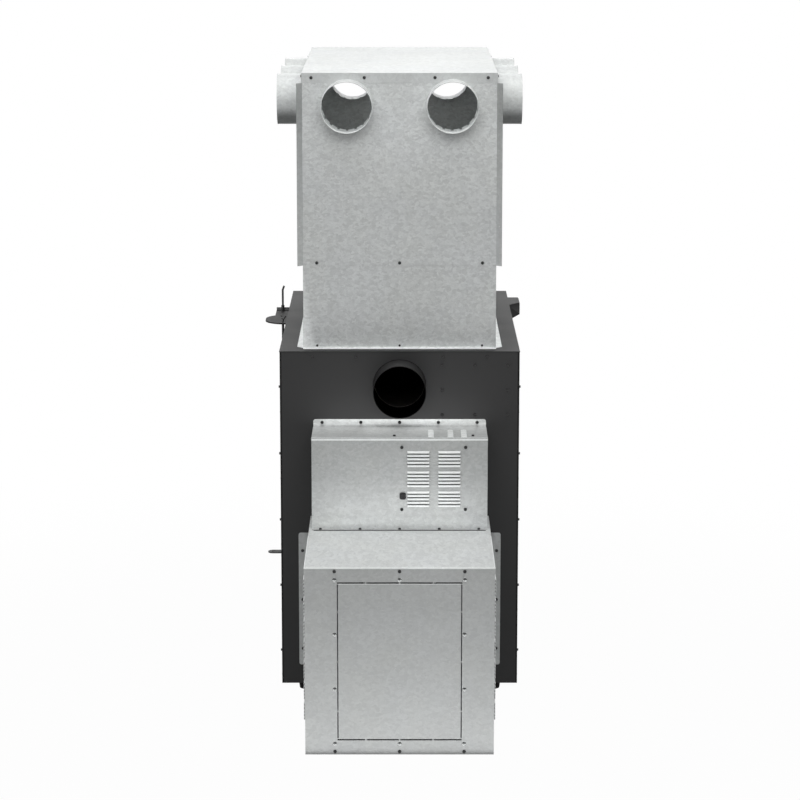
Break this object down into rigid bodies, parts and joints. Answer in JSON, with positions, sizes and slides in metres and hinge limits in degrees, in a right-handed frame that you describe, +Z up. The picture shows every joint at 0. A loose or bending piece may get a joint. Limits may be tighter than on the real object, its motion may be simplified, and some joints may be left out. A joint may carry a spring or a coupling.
{
  "type": "wood-fired warm-air furnace",
  "caption": "Wood-fired warm-air furnace: dark painted casing, galvanised plenum with round duct collars, flue collar, control box and blower box at the rear.",
  "frame": {"origin": "on the floor, in the plane of the casing's rear face, midway between the casing's sides", "axes": "+Z up, +Y towards the loading door, +X to the right when the furnace is seen from its blower side"},
  "size_m": [0.84, 1.833, 1.888],
  "materials": {
    "casing_paint": "matt powder coat",
    "galvanised": "spangled zinc",
    "black_steel": "matt black",
    "black_screws": "satin black",
    "black_rubber": "matt",
    "plate_steel": "mill scale",
    "cast_iron": "as cast",
    "fire_brick": "matt ceramic",
    "ceramic_board": "matt ceramic fibre",
    "stainless": "brushed",
    "rope_seal": "woven glass rope",
    "door_glass": "clear",
    "wood_grip": "oiled",
    "bright_steel": "ground",
    "grey_motor": "satin",
    "filter_media": "pleated fibre",
    "circuit_board": "gloss",
    "laminations": "varnished",
    "black_plastic": "satin"
  },
  "bodies": {
    "furnace": {"base_pan": "casing_paint", "levelling_feet": "black_rubber", "left_side_panel": "casing_paint", "right_side_panel": "casing_paint", "rear_panel": "casing_paint", "rear_inner_plate": "galvanised", "front_panel": "casing_paint", "top_panel": "casing_paint", "casing_screws": "black_screws", "firebox_shell": "plate_steel", "fire_bricks": "fire_brick", "ash_grate": "cast_iron", "baffle_board": "ceramic_board", "secondary_air_tubes": "stainless", "heat_exchanger": "plate_steel", "flue_collar": "black_steel", "hinge_brackets": "black_steel", "hinge_pins": "bright_steel", "latch_keeper": "black_steel", "combustion_air_duct": "galvanised", "damper_motor": "grey_motor", "damper_motor_cover": "casing_paint", "blower_box": "galvanised", "blower_box_lid": "galvanised", "blower_rear_panel": "galvanised", "blower_screws": "black_screws", "scroll_housing": "galvanised", "blower_motor": "grey_motor", "motor_bracket": "galvanised", "air_filter": "filter_media", "filter_rack": "galvanised", "control_box": "galvanised", "control_board": "circuit_board", "transformer": "laminations", "switch_bezel": "black_plastic", "control_screws": "black_screws", "plenum_lower_box": "galvanised", "plenum_rear_panel": "galvanised", "plenum_front_panel": "galvanised", "plenum_left_panel": "galvanised", "plenum_right_panel": "galvanised", "plenum_lid": "galvanised", "corner_seams": "galvanised", "end_collars": "galvanised", "side_collars": "galvanised", "plenum_screws": "black_screws", "tool_rest": "casing_paint", "side_eye_tab": "black_steel"},
    "door": {"loading_door": "black_steel", "door_glass": "door_glass", "door_gasket": "rope_seal"},
    "handle": {"door_handle": "black_steel", "handle_grip": "wood_grip"},
    "drawer": {"ash_drawer": "black_steel", "ash_drawer_handle": "black_steel"},
    "wheel": {"blower_wheel": "galvanised", "motor_shaft": "bright_steel"},
    "damper": {"damper_flap": "bright_steel"},
    "button": {"switch_button": "black_plastic"},
    "poker": {"poker": "black_steel"}
  },
  "joints": [
    {"name": "loading_door_hinge", "type": "hinge", "parent": "furnace", "child": "door", "pos_m": [0.25, 1.1655, 0.54], "axis": [0, 0, -1], "range_deg": [0, 120]},
    {"name": "door_handle_turn", "type": "hinge", "parent": "door", "child": "handle", "pos_m": [-0.205, 1.1655, 0.54], "axis": [0, 1, 0], "range_deg": [0, 90]},
    {"name": "ash_drawer_slide", "type": "slide", "parent": "furnace", "child": "drawer", "axis": [0, 1, 0], "range_m": [0, 0.45]},
    {"name": "blower_wheel_spin", "type": "hinge", "parent": "furnace", "child": "wheel", "pos_m": [0, -0.29, 0.235], "axis": [1, 0, 0], "continuous": true},
    {"name": "air_damper_turn", "type": "hinge", "parent": "furnace", "child": "damper", "pos_m": [0.307, 1.012, 1.0204], "axis": [1, 0, 0], "range_deg": [0, 90]},
    {"name": "switch_press", "type": "slide", "parent": "furnace", "child": "button", "axis": [0, 1, 0], "range_m": [0, 0.0025], "stiffness_N_per_m": 300, "springref_m": -0.001},
    {"name": "poker_lift", "type": "slide", "parent": "furnace", "child": "poker", "axis": [0, 0, 1], "range_m": [0, 0.6]}
  ]
}
